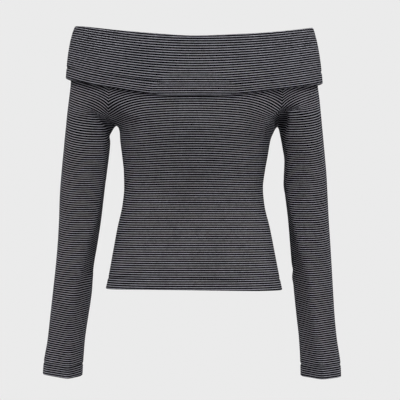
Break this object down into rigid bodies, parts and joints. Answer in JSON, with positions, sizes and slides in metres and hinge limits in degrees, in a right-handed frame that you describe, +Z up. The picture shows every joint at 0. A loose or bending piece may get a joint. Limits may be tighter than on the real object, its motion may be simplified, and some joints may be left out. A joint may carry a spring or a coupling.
{
  "type": "off-the-shoulder long-sleeved top",
  "caption": "Fitted jersey top with long close sleeves, a plain hem and a wide fold-over band round the open shoulders, filled out as worn.",
  "frame": {"origin": "middle of the neck opening, level with the back of its edge, where the shoulders hold the top up", "axes": "+Z up, -Y out of the front, +X to the viewer's right from the front"},
  "size_m": [0.4991, 0.221, 0.5823],
  "materials": {
    "body_jersey": "matt striped jersey knit",
    "sleeve_jersey": "matt striped jersey knit",
    "band_jersey": "matt striped jersey knit"
  },
  "bodies": {
    "root": {"front_panel": "body_jersey", "back_panel": "body_jersey", "sleeve_left": "sleeve_jersey", "sleeve_right": "sleeve_jersey", "band_front": "band_jersey", "band_back": "band_jersey"}
  },
  "joints": []
}
